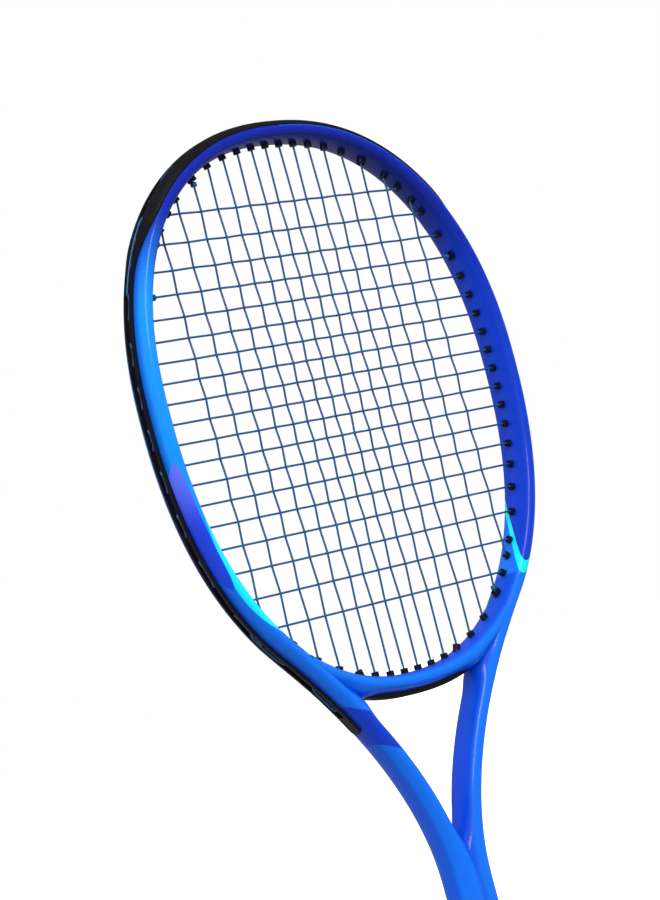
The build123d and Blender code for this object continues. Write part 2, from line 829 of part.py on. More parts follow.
pieces = (
    frame_tube,
    throat_bridge,
    shaft_web,
    bumper_guard,
    grommet_strip_right,
    grommet_strip_left,
    grommet_strip_throat,
    main_string,
    cross_string,
    tie_off_knots,
    pallet_front,
    pallet_back,
    butt_cap,
    butt_badge,
    base_grip,
    finishing_tape,
    grip_collar,
)
os.makedirs("parts", exist_ok=True)
for piece in pieces:
    export_step(piece.part, f"parts/{piece.part.label}.step")
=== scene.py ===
"""Looks for the tennis racket: painted frame, black grommets, strings and a spiral-wrapped grip."""

import math

import bpy
import numpy as np
from mathutils import Matrix, Vector


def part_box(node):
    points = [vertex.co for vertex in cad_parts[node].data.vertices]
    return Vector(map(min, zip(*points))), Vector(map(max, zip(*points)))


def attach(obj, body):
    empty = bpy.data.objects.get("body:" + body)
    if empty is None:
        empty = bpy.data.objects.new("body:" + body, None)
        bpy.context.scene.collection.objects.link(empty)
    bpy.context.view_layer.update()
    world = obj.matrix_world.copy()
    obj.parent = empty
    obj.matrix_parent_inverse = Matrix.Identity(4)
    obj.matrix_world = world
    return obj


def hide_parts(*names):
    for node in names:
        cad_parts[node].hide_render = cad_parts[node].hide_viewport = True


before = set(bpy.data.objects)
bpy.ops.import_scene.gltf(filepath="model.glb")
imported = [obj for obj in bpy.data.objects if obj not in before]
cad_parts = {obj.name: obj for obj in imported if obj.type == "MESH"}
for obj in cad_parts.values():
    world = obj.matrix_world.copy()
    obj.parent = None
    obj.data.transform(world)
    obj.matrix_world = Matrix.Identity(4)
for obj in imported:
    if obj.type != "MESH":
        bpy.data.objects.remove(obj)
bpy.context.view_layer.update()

MM = 0.001

# --- Camera -------------------------------------------------------------------------------------------------
CAMERA_PLACE = Vector((-0.8712, -1.1210, 0.3648))
CAMERA_RIGHT = Vector((0.7817, -0.5688, -0.2557)).normalized()
CAMERA_FORWARD = Vector((0.6042, 0.7924, 0.0845)).normalized()
CAMERA_LENS = 96.1


def make_camera():
    """The camera, in front, to the left and a little below the head's middle."""
    data = bpy.data.cameras.new("camera")
    data.lens = CAMERA_LENS
    data.clip_start = 0.05
    data.clip_end = 60
    camera = bpy.data.objects.new("camera", data)
    bpy.context.scene.collection.objects.link(camera)
    up = CAMERA_RIGHT.cross(CAMERA_FORWARD)
    turn = Matrix((CAMERA_RIGHT, up, -CAMERA_FORWARD)).transposed()
    camera.matrix_world = Matrix.Translation(CAMERA_PLACE) @ turn.to_4x4()
    bpy.context.scene.camera = camera


make_camera()

# --- The racket's own lines, worked out from the CAD's boxes ------------------------------------------------
TUBE_HALF_WIDTH = 5.4 * MM
LEG_HALF_WIDTH = 6.5 * MM
BEAM_TIP = 23.8 * MM
BEAM_MIDDLE = 26.5 * MM
BEAM_THROAT = 22.5 * MM
HEAD_LENGTH = 326 * MM
WIDEST_ABOVE_MIDDLE = 12 * MM
SQUARENESS = 2.24
DEPARTURE = -51.0
ARM_LEAD_TOP = 60 * MM
ARM_LEAD_BOTTOM = 60 * MM
LEG_SPREAD = 6.9 * MM
THROAT_LENGTH = 124 * MM
TANGENT_STEP = 0.4  # degrees each side of a place whose direction is wanted
GROOVE_HALF = 3.85 * MM
GROOVE_DEPTH = 0.8 * MM
GROOVE_TOP = 91 * MM
GROOVE_BOTTOM = -186 * MM
BRIDGE_GROOVE_HALF_LENGTH = 36.5 * MM

TUBE_LOW, TUBE_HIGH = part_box("frame_tube")
HALF_ACROSS = TUBE_HIGH.x - TUBE_HALF_WIDTH
HEAD_MIDDLE = TUBE_HIGH.z - 2 * TUBE_HALF_WIDTH - HEAD_LENGTH / 2
HALF_UP = HEAD_LENGTH / 2 - WIDEST_ABOVE_MIDDLE + TUBE_HALF_WIDTH
HALF_DOWN = HEAD_LENGTH / 2 + WIDEST_ABOVE_MIDDLE + TUBE_HALF_WIDTH
WIDEST = HEAD_MIDDLE + WIDEST_ABOVE_MIDDLE
SHAFT_TOP = WIDEST - HALF_DOWN - THROAT_LENGTH


def oval(angle):
    """A point of the head's centre line; 90 degrees is the tip and 0 is the right side."""
    c, s = math.cos(math.radians(angle)), math.sin(math.radians(angle))
    power = 2 / SQUARENESS
    reach = HALF_UP if s > 0 else HALF_DOWN
    x = HALF_ACROSS * math.copysign(abs(c) ** power, c)
    return (x, WIDEST + reach * math.copysign(abs(s) ** power, s))


def arm_points(count):
    """The right arm's centre line from the oval to the shaft."""
    (x0, z0), (x1, z1) = oval(DEPARTURE + TANGENT_STEP), oval(DEPARTURE - TANGENT_STEP)
    run = math.hypot(x1 - x0, z1 - z0)
    start = oval(DEPARTURE)
    corners = [
        start,
        (start[0] + (x1 - x0) / run * ARM_LEAD_TOP, start[1] + (z1 - z0) / run * ARM_LEAD_TOP),
        (LEG_SPREAD, SHAFT_TOP + ARM_LEAD_BOTTOM),
        (LEG_SPREAD, SHAFT_TOP),
    ]
    points = []
    for i in range(1, count + 1):
        t = i / count
        weights = ((1 - t) ** 3, 3 * t * (1 - t) ** 2, 3 * t * t * (1 - t), t**3)
        points.append(tuple(sum(w * c[k] for w, c in zip(weights, corners)) for k in range(2)))
    return points


def ease(value):
    """0 to 1 with level ends."""
    value = np.clip(value, 0, 1)
    return value * value * (3 - 2 * value)


def half_beam(z):
    """Half the tube's depth at a height."""
    above = BEAM_MIDDLE + (BEAM_TIP - BEAM_MIDDLE) * ease((z - WIDEST) / HALF_UP)
    below = BEAM_MIDDLE + (BEAM_THROAT - BEAM_MIDDLE) * ease((WIDEST - z) / (WIDEST - SHAFT_TOP))
    return np.where(z > WIDEST, above, below) / 2


def half_width(z):
    """Half the tube's width at a height: it grows along the arms."""
    start = oval(DEPARTURE)[1]
    return TUBE_HALF_WIDTH + (LEG_HALF_WIDTH - TUBE_HALF_WIDTH) * ease((start - z) / (start - SHAFT_TOP))


def evenly(points, step):
    """Points at even steps along a line through the given points."""
    points = np.array(points)
    lengths = np.concatenate([[0], np.cumsum(np.linalg.norm(np.diff(points, axis=0), axis=1))])
    places = np.linspace(0, lengths[-1], max(2, int(round(lengths[-1] / step))) + 1)
    return np.column_stack([np.interp(places, lengths, points[:, k]) for k in range(2)])


STATION_STEP = 2 * MM
BATCH = 4000  # points looked up at once
TINY = 1e-9
BEYOND_END = 2  # weight of the distance past a tube's end


class Tube:
    """A tube along a line in the string plane: its centre, outward side and half sizes at each station."""

    def __init__(self, points, wide, deep, side):
        self.points = points
        along = np.gradient(points, axis=0)
        along /= np.linalg.norm(along, axis=1)[:, None]
        self.along = along
        self.out = np.column_stack([-along[:, 1], along[:, 0]]) * side
        self.wide = wide
        self.deep = deep

    def distance(self, p):
        """About how far points are outside the tube, and the tube's centre nearest to each."""
        result = np.empty(len(p))
        centres = np.empty((len(p), 2))
        for start in range(0, len(p), BATCH):
            part = p[start:start + BATCH]
            flat = part[:, [0, 2]]
            nearest = ((flat[:, None, :] - self.points[None]) ** 2).sum(2).argmin(1)
            centre = self.points[nearest]
            across = ((flat - centre) * self.out[nearest]).sum(1) / self.wide[nearest]
            depth = part[:, 1] / self.deep[nearest]
            radius = np.hypot(across, depth) + TINY
            slope = np.hypot(across / self.wide[nearest], depth / self.deep[nearest]) + TINY
            beyond = np.abs(((flat - centre) * self.along[nearest]).sum(1)) - STATION_STEP
            outside = radius * (radius - 1) / slope
            result[start:start + BATCH] = outside + BEYOND_END * np.maximum(0, beyond)
            centres[start:start + BATCH] = centre
        return result, centres


HEAD_ANGLES = np.linspace(90, DEPARTURE, 400)
ARM_POINTS = 200
LEG_BOTTOM = TUBE_LOW.z


def right_line():
    """The right half's centre line from the tip to the end of the leg."""
    line = [oval(a) for a in HEAD_ANGLES] + arm_points(ARM_POINTS) + [(LEG_SPREAD, LEG_BOTTOM)]
    return evenly(line, STATION_STEP)


RIGHT = right_line()
RIGHT_TUBE = Tube(RIGHT, half_width(RIGHT[:, 1]), half_beam(RIGHT[:, 1]), 1)
LEFT = RIGHT * np.array([-1, 1])
LEFT_TUBE = Tube(LEFT, RIGHT_TUBE.wide, RIGHT_TUBE.deep, -1)
BRIDGE_SPREAD = 33.0  # degrees each way from the bottom of the oval
BRIDGE_ANGLES = np.linspace(-90 + BRIDGE_SPREAD, -90 - BRIDGE_SPREAD, 300)
BRIDGE_STEP = 1.6 * MM
BRIDGE_WIDTH_INSET = 0.25 * MM
BRIDGE_DEPTH_INSET = 0.3 * MM
BRIDGE = evenly([oval(a) for a in BRIDGE_ANGLES], BRIDGE_STEP)
BRIDGE_WIDE = np.full(len(BRIDGE), TUBE_HALF_WIDTH - BRIDGE_WIDTH_INSET)
BRIDGE_TUBE = Tube(BRIDGE, BRIDGE_WIDE, half_beam(BRIDGE[:, 1]) - BRIDGE_DEPTH_INSET, 1)

# --- Meshes -------------------------------------------------------------------------------------------------


def make_object(name, vertices, faces, smooth_angle=35):
    """A smooth-shaded mesh object whose edges sharper than the angle stay sharp."""
    mesh = bpy.data.meshes.new(name)
    mesh.from_pydata([tuple(v) for v in vertices], [], faces)
    mesh.validate()
    mesh.polygons.foreach_set("use_smooth", [True] * len(mesh.polygons))
    mesh.update()
    mesh.set_sharp_from_angle(angle=math.radians(smooth_angle))
    piece = bpy.data.objects.new(name, mesh)
    bpy.context.scene.collection.objects.link(piece)
    return piece


def grid_faces(rows, columns):
    """Quads of a grid whose columns run round a ring."""
    faces = []
    for r in range(rows - 1):
        a, b = r * columns, (r + 1) * columns
        for c in range(columns):
            d = (c + 1) % columns
            faces.append((a + c, b + c, b + d, a + d))
    return faces


def add_attribute(piece, name, values):
    """Store a number on each vertex."""
    layer = piece.data.attributes.new(name, "FLOAT", "POINT")
    layer.data.foreach_set("value", np.asarray(values, np.float32))


ROUND_POINTS = 72
FLOOR_POINTS = 5
SECTION_POINTS = ROUND_POINTS + FLOOR_POINTS
SECTION_POWER = 2.3  # 2 is an ellipse, and more is squarer


def ring(half_w, half_d, groove):
    """A section's points (outwards, depth) and their angles; the last points are a groove's floor."""
    power = 2 / SECTION_POWER
    edge = math.asin((GROOVE_HALF / half_d) ** (1 / power))
    body = np.linspace(edge, 2 * math.pi - edge, ROUND_POINTS)
    floor = np.linspace(-edge, edge, FLOOR_POINTS)
    angles = np.concatenate([body, floor])
    c, s = np.cos(angles), np.sin(angles)
    out = half_w * np.sign(c) * np.abs(c) ** power
    deep = half_d * np.sign(s) * np.abs(s) ** power
    out[ROUND_POINTS:] = out[ROUND_POINTS:] * (1 - groove) + (half_w - GROOVE_DEPTH) * groove
    return out, deep, angles


def tube_mesh(tube, groove_at):
    """Vertices of a tube with its outward normals, and the section angle of each vertex."""
    vertices, normals, angles = [], [], []
    for i, (x, z) in enumerate(tube.points):
        out, deep, angle = ring(tube.wide[i], tube.deep[i], float(groove_at(x, z)))
        ox, oz = tube.out[i]
        normal_out, normal_deep = np.cos(angle) / tube.wide[i], np.sin(angle) / tube.deep[i]
        size = np.hypot(normal_out, normal_deep)
        vertices.append(np.column_stack([x + ox * out, -deep, z + oz * out]))
        normals.append(np.column_stack([ox * normal_out, -normal_deep, oz * normal_out]) / size[:, None])
        angles.append(angle)
    return np.concatenate(vertices), np.concatenate(normals), np.concatenate(angles)


BLEND_BELOW = HEAD_MIDDLE - 95 * MM
BLEND_ROUNDS = 6
COLLAR_LOW, COLLAR_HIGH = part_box("grip_collar")
BRIDGE_FILLET = 20 * MM
BRIDGE_APART = (5 * MM, 20 * MM)  # centre distances over which the fillet grows
LEG_FILLET = 17 * MM
LEG_APART = (0, 8 * MM)


def blended(vertices, normals, centres, others):
    """Vertices moved outwards so that tubes run into each other with a fillet."""
    moved = np.zeros(len(vertices))
    low = vertices[:, 2] < BLEND_BELOW
    for _ in range(BLEND_ROUNDS):
        p = vertices[low] + normals[low] * moved[low][:, None]
        lift = np.zeros(low.sum())
        for other, fillet, apart in others:
            far, centre = other.distance(p)
            gap = np.linalg.norm(centre - centres[low], axis=1)
            size = fillet * ease((gap - apart[0]) / (apart[1] - apart[0])) + 0.001 * MM
            share = np.clip(size - np.abs(far - moved[low]), 0, None) / size
            lift = np.maximum(lift, share**2 * size / 4)
        moved[low] = (moved[low] + lift) / 2
    # the legs stay separate inside the handle
    moved *= ease((vertices[:, 2] - COLLAR_LOW.z) / (COLLAR_HIGH.z - COLLAR_LOW.z))
    return vertices + normals * moved[:, None]


def in_side_groove(x, z):
    """Whether a strip's groove runs along the frame at a place."""
    return GROOVE_BOTTOM < z - HEAD_MIDDLE < GROOVE_TOP


def in_bridge_groove(x, z):
    """Whether the throat strip's groove runs along the bridge at a place."""
    return abs(x) < BRIDGE_GROOVE_HALF_LENGTH


def blended_tube(tube, groove_at, others):
    """A tube's vertices once it has run into the others, and their section angles."""
    vertices, normals, angles = tube_mesh(tube, groove_at)
    centres = np.repeat(tube.points, SECTION_POINTS, axis=0)
    return blended(vertices, normals, centres, others), angles


def make_hairpin():
    """The frame's tube: both halves as one open-ended skin from one leg's end to the other's."""
    others = [(BRIDGE_TUBE, BRIDGE_FILLET, BRIDGE_APART), (LEFT_TUBE, LEG_FILLET, LEG_APART)]
    right, angles = blended_tube(RIGHT_TUBE, in_side_groove, others)
    rows = len(RIGHT)
    right = right.reshape(rows, SECTION_POINTS, 3)
    left = right[:0:-1] * np.array([-1, 1, 1])
    vertices = np.concatenate([left, right]).reshape(-1, 3)
    piece = make_object("painted_frame", vertices, grid_faces(2 * rows - 1, SECTION_POINTS))
    outer = np.cos(angles).reshape(rows, SECTION_POINTS)
    add_attribute(piece, "outer", np.concatenate([outer[:0:-1], outer]).ravel())
    return piece


def make_bridge():
    """The throat bridge, running into both arms."""
    arms = [(RIGHT_TUBE, BRIDGE_FILLET, BRIDGE_APART), (LEFT_TUBE, BRIDGE_FILLET, BRIDGE_APART)]
    vertices, angles = blended_tube(BRIDGE_TUBE, in_bridge_groove, arms)
    piece = make_object("painted_bridge", vertices, grid_faces(len(BRIDGE), SECTION_POINTS))
    add_attribute(piece, "outer", np.cos(angles))
    return piece


# --- Materials ----------------------------------------------------------------------------------------------


class Nodes:
    """A small helper that builds a node material."""

    def __init__(self, name, **sockets):
        self.material = bpy.data.materials.new(name)
        self.material.use_nodes = True
        self.tree = self.material.node_tree
        self.shader = self.tree.nodes["Principled BSDF"]
        for key, value in sockets.items():
            self.shader.inputs[key.replace("_", " ")].default_value = value

    def put(self, socket, value):
        """Link a socket to another, or give it a plain value."""
        if isinstance(value, bpy.types.NodeSocket):
            self.tree.links.new(value, socket)
        else:
            socket.default_value = value

    def math(self, operation, a, b=0.0, c=0.0):
        node = self.tree.nodes.new("ShaderNodeMath")
        node.operation = operation
        for socket, value in zip(node.inputs, (a, b, c)):
            self.put(socket, value)
        return node.outputs[0]

    def ramp(self, value, low, high, to_low=0.0, to_high=1.0):
        node = self.tree.nodes.new("ShaderNodeMapRange")
        node.interpolation_type = "SMOOTHSTEP"
        for place, v in enumerate((value, low, high, to_low, to_high)):
            self.put(node.inputs[place], v)
        return node.outputs[0]

    def mix(self, factor, a, b):
        node = self.tree.nodes.new("ShaderNodeMix")
        node.data_type = "RGBA"
        self.put(node.inputs[0], factor)
        for socket, value in ((node.inputs[6], a), (node.inputs[7], b)):
            self.put(socket, value if isinstance(value, bpy.types.NodeSocket) else (*value, 1))
        return node.outputs[2]

    def place(self):
        """X, Y and Z in metres in the racket's frame."""
        node = self.tree.nodes.new("ShaderNodeTexCoord")
        split = self.tree.nodes.new("ShaderNodeSeparateXYZ")
        self.tree.links.new(node.outputs["Object"], split.inputs[0])
        self.coordinates = node.outputs["Object"]
        return split.outputs

    def noise(self, scale, detail=3.0):
        node = self.tree.nodes.new("ShaderNodeTexNoise")
        node.inputs["Scale"].default_value = scale
        node.inputs["Detail"].default_value = detail
        self.tree.links.new(self.coordinates, node.inputs["Vector"])
        return node.outputs["Fac"]

    def attribute(self, name):
        node = self.tree.nodes.new("ShaderNodeAttribute")
        node.attribute_name = name
        return node.outputs["Fac"]

    def bump(self, height, strength, distance):
        node = self.tree.nodes.new("ShaderNodeBump")
        node.inputs["Strength"].default_value = strength
        node.inputs["Distance"].default_value = distance
        self.tree.links.new(height, node.inputs["Height"])
        self.tree.links.new(node.outputs[0], self.shader.inputs["Normal"])

    def link(self, name, value):
        self.tree.links.new(value, self.shader.inputs[name])


ROYAL = (0.0, 0.045, 0.62)
TOP_BLUE = (0.0, 0.016, 0.40)
SHADE_NAVY = (0.0, 0.004, 0.13)
AZURE = (0.0, 0.17, 0.92)
BRIGHT_AZURE = (0.0, 0.30, 1.0)
VIOLET = (0.01, 0.055, 0.80)
PALE_VIOLET = (0.12, 0.17, 1.0)
CYAN = (0.0, 0.85, 1.0)
EDGE = 0.25 * MM  # half the width of a painted edge
# heights from the head's middle over which one colour fades into the next
TOP_BLUE_FADE = (0, 125 * MM)
ROYAL_FADE = (132 * MM, 70 * MM)
BRIGHT_FADE = (-100 * MM, -40 * MM)
VIOLET_FADE = (-20 * MM, -60 * MM)
# the painted highlight along the right side's ridge, as places across the tube
RIDGE_HIGHLIGHT_ACROSS = 0.4
RIDGE_HIGHLIGHT_HALF_WIDTH = 0.3
RIDGE_HIGHLIGHT_STRENGTH = 0.45
# the right side's cyan flash
FLASH_SLOPE = -1.8  # how fast it drops from the back to the front
FLASH_DEPTH = 94 * MM  # below the head's middle
FLASH_WIDTH = 7.0 * MM
# the left side's cyan crescent on the inner edge, below the head's middle
CRESCENT_START = 41 * MM
CRESCENT_LENGTH = 81 * MM
CRESCENT_FULLNESS = 0.75  # lower makes its ends blunter
CRESCENT_SWELL = (3.2, 0.5)  # how much fuller it gets towards its lower end, and its fullness at the top
CRESCENT_REACH = 0.40
# the left side's violet lozenge: middle below the head's middle, half length, middle and half width across
LOZENGE_DEPTH = 55 * MM
LOZENGE_HALF_LENGTH = 38 * MM
LOZENGE_ACROSS = 0.62
LOZENGE_HALF_WIDTH = 0.55
# the royal panel on the left arm
PANEL_SLOPE = -5 * MM
PANEL_TOP = -177 * MM
PANEL_BOTTOM = -203 * MM
PANEL_SHEEN = (-0.2, -0.7)  # places across the tube between which a painted sheen turns it pale
# places across the tube over which painted shade darkens the paint, and how much
RIM_SHADE = (0.70, 0.97)
RIM_SHADE_STRENGTH = 0.6
WALL_SHADE = (-0.3, -0.85)
WALL_SHADE_STRENGTH = 0.8
TOP_WALL_SHADE = (-0.1, -0.9)
TOP_WALL_SHADE_HEIGHTS = (60 * MM, 130 * MM)
TOP_WALL_SHADE_STRENGTH = 0.75


def right_paint(n, height, depth, outer, royal):
    """The right side: royal with a painted highlight along a ridge, a slanting cyan flash, and azure below
    it.
    """
    slant = n.math("MULTIPLY_ADD", depth, FLASH_SLOPE, n.math("ADD", height, FLASH_DEPTH))
    below_flash = n.ramp(slant, -FLASH_WIDTH + EDGE, -FLASH_WIDTH - EDGE)
    in_flash = n.math("MULTIPLY", n.math("SUBTRACT", 1.0, below_flash), n.ramp(slant, EDGE, -EDGE))
    # painted highlight: a lighter azure band along the ridge
    from_ridge_highlight = n.math("ABSOLUTE", n.math("SUBTRACT", outer, RIDGE_HIGHLIGHT_ACROSS))
    ridge = n.ramp(from_ridge_highlight, RIDGE_HIGHLIGHT_HALF_WIDTH, 0.0)
    royal_face_with_highlight = n.mix(n.math("MULTIPLY", ridge, RIDGE_HIGHLIGHT_STRENGTH), royal, AZURE)
    return n.mix(in_flash, n.mix(below_flash, royal_face_with_highlight, AZURE), CYAN)


def crescent_area(n, height, outer):
    """Where the crescent is painted."""
    along = n.math("DIVIDE", n.math("ADD", height, CRESCENT_START), -CRESCENT_LENGTH)
    before_end = n.math("MAXIMUM", n.math("SUBTRACT", 1.0, along), 0.0)
    inside = n.math("MULTIPLY", n.math("MAXIMUM", along, 0.0), before_end)
    growth = n.math("MULTIPLY_ADD", along, *CRESCENT_SWELL)
    swell = n.math("MULTIPLY", n.math("POWER", inside, CRESCENT_FULLNESS), growth)
    past_edge = n.math("SUBTRACT", n.math("SUBTRACT", swell, CRESCENT_REACH), outer)
    return n.math("MULTIPLY", n.ramp(past_edge, -0.02, 0.02), n.ramp(inside, 0.0, 0.004))


def lozenge_area(n, height, outer):
    """Where the lozenge is painted."""
    from_middle = n.math("DIVIDE", n.math("ADD", height, LOZENGE_DEPTH), LOZENGE_HALF_LENGTH)
    sideways = n.math("DIVIDE", n.math("SUBTRACT", outer, LOZENGE_ACROSS), LOZENGE_HALF_WIDTH)
    along = n.math("POWER", n.math("ABSOLUTE", from_middle), 2.6)
    across = n.math("POWER", n.math("ABSOLUTE", sideways), 2.0)
    return n.ramp(n.math("ADD", along, across), 1.03, 0.97)


def left_paint(n, height, outer, royal, crescent, lozenge):
    """The left side: royal fades into azure by the bumper's end, with the crescent, lozenge and panel."""
    azure = n.mix(n.ramp(height, *BRIGHT_FADE), AZURE, BRIGHT_AZURE)
    colour = n.mix(n.ramp(height, *ROYAL_FADE), royal, azure)
    colour = n.mix(crescent, colour, CYAN)
    violet = n.mix(n.ramp(height, *VIOLET_FADE), PALE_VIOLET, VIOLET)
    colour = n.mix(lozenge, colour, violet)
    slant = n.math("MULTIPLY_ADD", outer, PANEL_SLOPE, height)
    below_top = n.ramp(slant, PANEL_TOP + EDGE, PANEL_TOP - EDGE)
    above_bottom = n.ramp(slant, PANEL_BOTTOM - EDGE, PANEL_BOTTOM + EDGE)
    panel_colour = n.mix(n.ramp(outer, *PANEL_SHEEN), ROYAL, PALE_VIOLET)
    return n.mix(n.math("MULTIPLY", below_top, above_bottom), colour, panel_colour)


def frame_paint():
    """Plain colour areas with crisp edges, with painted shade on the rim and inner wall and a painted
    highlight on the right side's ridge, under a clear coat; "outer" is 1 outside and -1 inside the hoop.
    """
    gloss = {"Coat_Weight": 0.35, "Coat_Roughness": 0.06, "Coat_IOR": 1.45}
    n = Nodes("frame_paint", Roughness=0.34, Specular_IOR_Level=0.2, **gloss)
    x, y, z = n.place()
    height = n.math("SUBTRACT", z, HEAD_MIDDLE)
    outer = n.attribute("outer")
    royal = n.mix(n.ramp(height, *TOP_BLUE_FADE), ROYAL, TOP_BLUE)
    crescent = crescent_area(n, height, outer)
    lozenge = lozenge_area(n, height, outer)
    left = left_paint(n, height, outer, royal, crescent, lozenge)
    right = right_paint(n, height, y, outer, royal)
    colour = n.mix(n.math("GREATER_THAN", x, 0.0), left, right)

    # painted shade: the colour darkens towards the tube's outer edge
    rim_shade = n.math("MULTIPLY", n.ramp(outer, *RIM_SHADE), RIM_SHADE_STRENGTH)
    colour = n.mix(n.math("MULTIPLY", rim_shade, n.math("SUBTRACT", 1.0, lozenge)), colour, ROYAL)
    # painted shade: the inner wall is darker than the faces, and darkest at the top
    wall = n.math("MULTIPLY", n.ramp(outer, *WALL_SHADE), WALL_SHADE_STRENGTH)
    colour = n.mix(n.math("MULTIPLY", wall, n.math("SUBTRACT", 1.0, crescent)), colour, ROYAL)
    top = n.math("MULTIPLY", n.ramp(height, *TOP_WALL_SHADE_HEIGHTS), n.ramp(outer, *TOP_WALL_SHADE))
    colour = n.mix(n.math("MULTIPLY", top, TOP_WALL_SHADE_STRENGTH), colour, SHADE_NAVY)

    flake = n.ramp(n.noise(5200, 1.0), 0.35, 0.75, 0.93, 1.06)
    tint = n.tree.nodes.new("ShaderNodeVectorMath")
    tint.operation = "SCALE"
    n.tree.links.new(colour, tint.inputs[0])
    n.tree.links.new(flake, tint.inputs["Scale"])
    n.link("Base Color", tint.outputs[0])
    n.bump(n.noise(140, 2.0), 0.05, 0.4 * MM)
    return n.material


MOULDED_GRAIN = 1800


def moulded(name, colour, roughness, coat=0.0):
    """A moulded plastic or rubber with a fine grain and slight scuffs."""
    n = Nodes(name, Roughness=roughness, Specular_IOR_Level=0.35, Coat_Weight=coat, Coat_Roughness=0.25)
    n.place()
    grain = n.noise(MOULDED_GRAIN, 4.0)
    scuff = n.ramp(n.noise(60, 6.0), 0.45, 0.8)
    scuffed = tuple(min(1.0, c * 1.8 + 0.004) for c in colour)
    n.link("Base Color", n.mix(n.math("MULTIPLY", scuff, 0.35), colour, scuffed))
    n.link("Roughness", n.ramp(scuff, 0.0, 1.0, roughness, min(1.0, roughness + 0.18)))
    n.bump(grain, 0.25, 0.06 * MM)
    return n.material


def string_material():
    """Slightly glossy dark blue string."""
    n = Nodes("string", Roughness=0.33, Coat_Weight=0.3, Coat_Roughness=0.2)
    n.place()
    tone = n.ramp(n.noise(900, 3.0), 0.3, 0.7)
    n.link("Base Color", n.mix(tone, (0.006, 0.075, 0.24), (0.010, 0.115, 0.32)))
    n.bump(n.noise(3000, 2.0), 0.2, 0.03 * MM)
    return n.material


def use(piece, material):
    """Give a piece one material."""
    piece.data.materials.clear()
    piece.data.materials.append(material)


# --- Grip: a perforated strip wound up the handle -----------------------------------------------------------
GRIP_LOW, GRIP_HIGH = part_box("base_grip")
PALLET_LOW, PALLET_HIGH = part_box("pallet_front")
CAP_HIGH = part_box("butt_cap")[1]
PALLET_HALF_WIDTH = PALLET_HIGH.x
PALLET_HALF_DEPTH = -PALLET_LOW.y
PALLET_BEVEL = 7.4 * MM
BEVEL_GROWTH = 2 - math.sqrt(2)
GRIP_OVER_CAP = 3.35 * MM
GRIP_OVER_PALLETS = 1.75 * MM
GRIP_AT_TOP = 0.75 * MM
GRIP_FLARE = 8 * MM
GRIP_THINNING = (38 * MM, 16 * MM)  # below its top
# heights and how far the leather's surface stands out of the pallets' widest section
GRIP_PROFILE = (
    (GRIP_LOW.z, GRIP_HIGH.x - PALLET_HALF_WIDTH),
    (CAP_HIGH.z, GRIP_OVER_CAP),
    (CAP_HIGH.z + GRIP_FLARE, GRIP_OVER_PALLETS),
    (GRIP_HIGH.z - GRIP_THINNING[0], GRIP_OVER_PALLETS),
    (GRIP_HIGH.z - GRIP_THINNING[1], GRIP_AT_TOP),
    (GRIP_HIGH.z, GRIP_AT_TOP),
)
WRAP_PITCH = 23 * MM
WRAP_OVERLAP = 0.13  # share of the pitch where two turns lie on each other
WRAP_LEAD = 0.025  # share of the pitch over which the upper turn's edge rises
WRAP_RISE = 0.75 * MM
GRIP_POINTS = 160
GRIP_ROWS = 420
GRIP_ROUNDING = 26  # higher makes sharper bevels


def octagon_radius(angle, growth):
    """How far the handle's rounded octagon reaches from the axis at an angle."""
    c, s = abs(math.cos(angle)), abs(math.sin(angle))
    half_x, half_y = PALLET_HALF_WIDTH + growth, PALLET_HALF_DEPTH + growth
    slanted = half_x + half_y - PALLET_BEVEL - growth * BEVEL_GROWTH
    limits = (c / half_x, s / half_y, (c + s) / slanted)
    return sum(v**GRIP_ROUNDING for v in limits) ** (-1 / GRIP_ROUNDING)


def wrap_height(phase):
    """0 on top of an overlap and 1 rise lower between overlaps, with a steep leading edge."""
    overlap = math.sqrt(max(0.0, 1 - phase / WRAP_OVERLAP))
    lead = max(0.0, (phase - 1 + WRAP_LEAD) / WRAP_LEAD)
    return WRAP_RISE * (max(overlap, lead) - 1)


def make_grip():
    """The leather's outline, a little under the CAD grip's, with the overlapping turns standing up to it."""
    profile_heights, profile_growths = zip(*GRIP_PROFILE)
    vertices = []
    for z in np.linspace(GRIP_LOW.z, GRIP_HIGH.z, GRIP_ROWS):
        growth = float(np.interp(z, profile_heights, profile_growths))
        for i in range(GRIP_POINTS):
            angle = 2 * math.pi * i / GRIP_POINTS
            phase = (z / WRAP_PITCH - i / GRIP_POINTS) % 1.0
            radius = octagon_radius(angle, growth) + wrap_height(phase)
            vertices.append((radius * math.cos(angle), radius * math.sin(angle), z))
    return make_object("wrapped_grip", vertices, grid_faces(GRIP_ROWS, GRIP_POINTS), 40)


HOLE_ROWS = 9.0  # of perforations across the strip
HOLES_PER_TURN = 34.0


